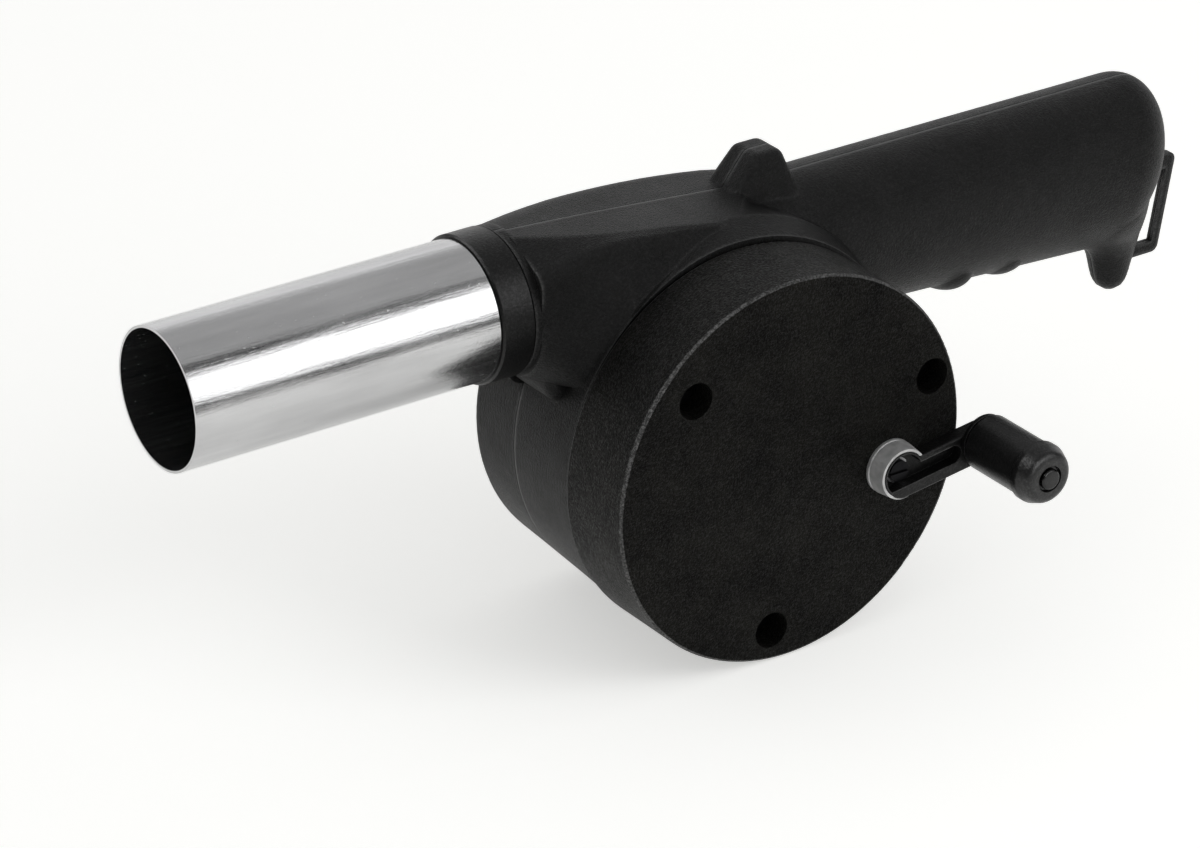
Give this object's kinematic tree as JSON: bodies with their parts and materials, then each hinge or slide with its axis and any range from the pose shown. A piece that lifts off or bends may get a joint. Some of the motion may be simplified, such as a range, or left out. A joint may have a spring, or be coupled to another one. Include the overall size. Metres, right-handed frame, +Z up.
{
  "type": "hand-cranked barbecue blower",
  "caption": "Hand-cranked fan for fanning charcoal: scroll housing with a steel blow tube, hollow handle with a hanging loop, and a crank driving the fan through gears.",
  "frame": {"origin": "centre of the blow tube's mouth", "axes": "+X runs back along the tube's axis to the handle, +Z is up, and the crank is on the -Y side"},
  "size_m": [0.2714, 0.0902, 0.1003],
  "materials": {
    "housing_plastic": "moulded, fine spark-eroded grain, matt black",
    "cover_plastic": "moulded, fine spark-eroded grain, matt black",
    "tube_steel": "bright drawn steel tube",
    "collar_plastic": "moulded, satin black",
    "gear_plastic": "natural acetal",
    "pinion_brass": "cut brass",
    "shaft_steel": "ground steel",
    "bush_bronze": "sintered bronze",
    "bush_steel": "turned, zinc-plated steel",
    "fan_plastic": "moulded black",
    "screw_steel": "blackened zinc-plated steel",
    "arm_plastic": "satin black, moulded",
    "knob_plastic": "smooth satin-gloss black",
    "rivet_metal": "domed rivet head, half-bright"
  },
  "bodies": {
    "housing": {"front_shell": "housing_plastic", "rear_shell": "housing_plastic", "gear_cover": "cover_plastic", "blow_tube": "tube_steel", "collar_ring": "collar_plastic", "fan_front_bush": "bush_bronze", "fan_rear_bush": "bush_bronze", "crank_inner_bush": "bush_bronze", "crank_bush": "bush_steel", "step_axle": "shaft_steel", "step_washer": "shaft_steel", "cover_screws": "screw_steel", "shell_screws": "screw_steel"},
    "crank": {"crank_arm": "arm_plastic", "crank_ferrule": "bush_steel", "crank_shaft": "shaft_steel", "crank_gear": "gear_plastic", "crank_screw": "screw_steel", "knob_washer": "arm_plastic", "knob_rivet": "rivet_metal"},
    "knob": {"knob": "knob_plastic"},
    "step": {"step_gear": "gear_plastic"},
    "fan": {"impeller": "fan_plastic", "fan_shaft": "shaft_steel", "fan_pinion": "pinion_brass", "fan_nut": "screw_steel"}
  },
  "joints": [
    {"name": "crank_turn", "type": "hinge", "parent": "housing", "child": "crank", "pos_m": [0.1567, -0.047, -0.0429], "axis": [0, 1, 0], "continuous": true},
    {"name": "step_turn", "type": "hinge", "parent": "housing", "child": "step", "pos_m": [0.14053, -0.035, -0.05467], "axis": [0, 1, 0], "continuous": true},
    {"name": "fan_turn", "type": "hinge", "parent": "housing", "child": "fan", "pos_m": [0.1304, -0.005, -0.0365], "axis": [0, 1, 0], "continuous": true},
    {"name": "knob_spin", "type": "hinge", "parent": "crank", "child": "knob", "pos_m": [0.17816, -0.06, -0.04046], "axis": [0, 1, 0], "continuous": true}
  ],
  "couplings": [
    {"joint": "crank_turn", "follows": "fan_turn", "ratio": 0.11667},
    {"joint": "step_turn", "follows": "fan_turn", "ratio": -0.3}
  ]
}
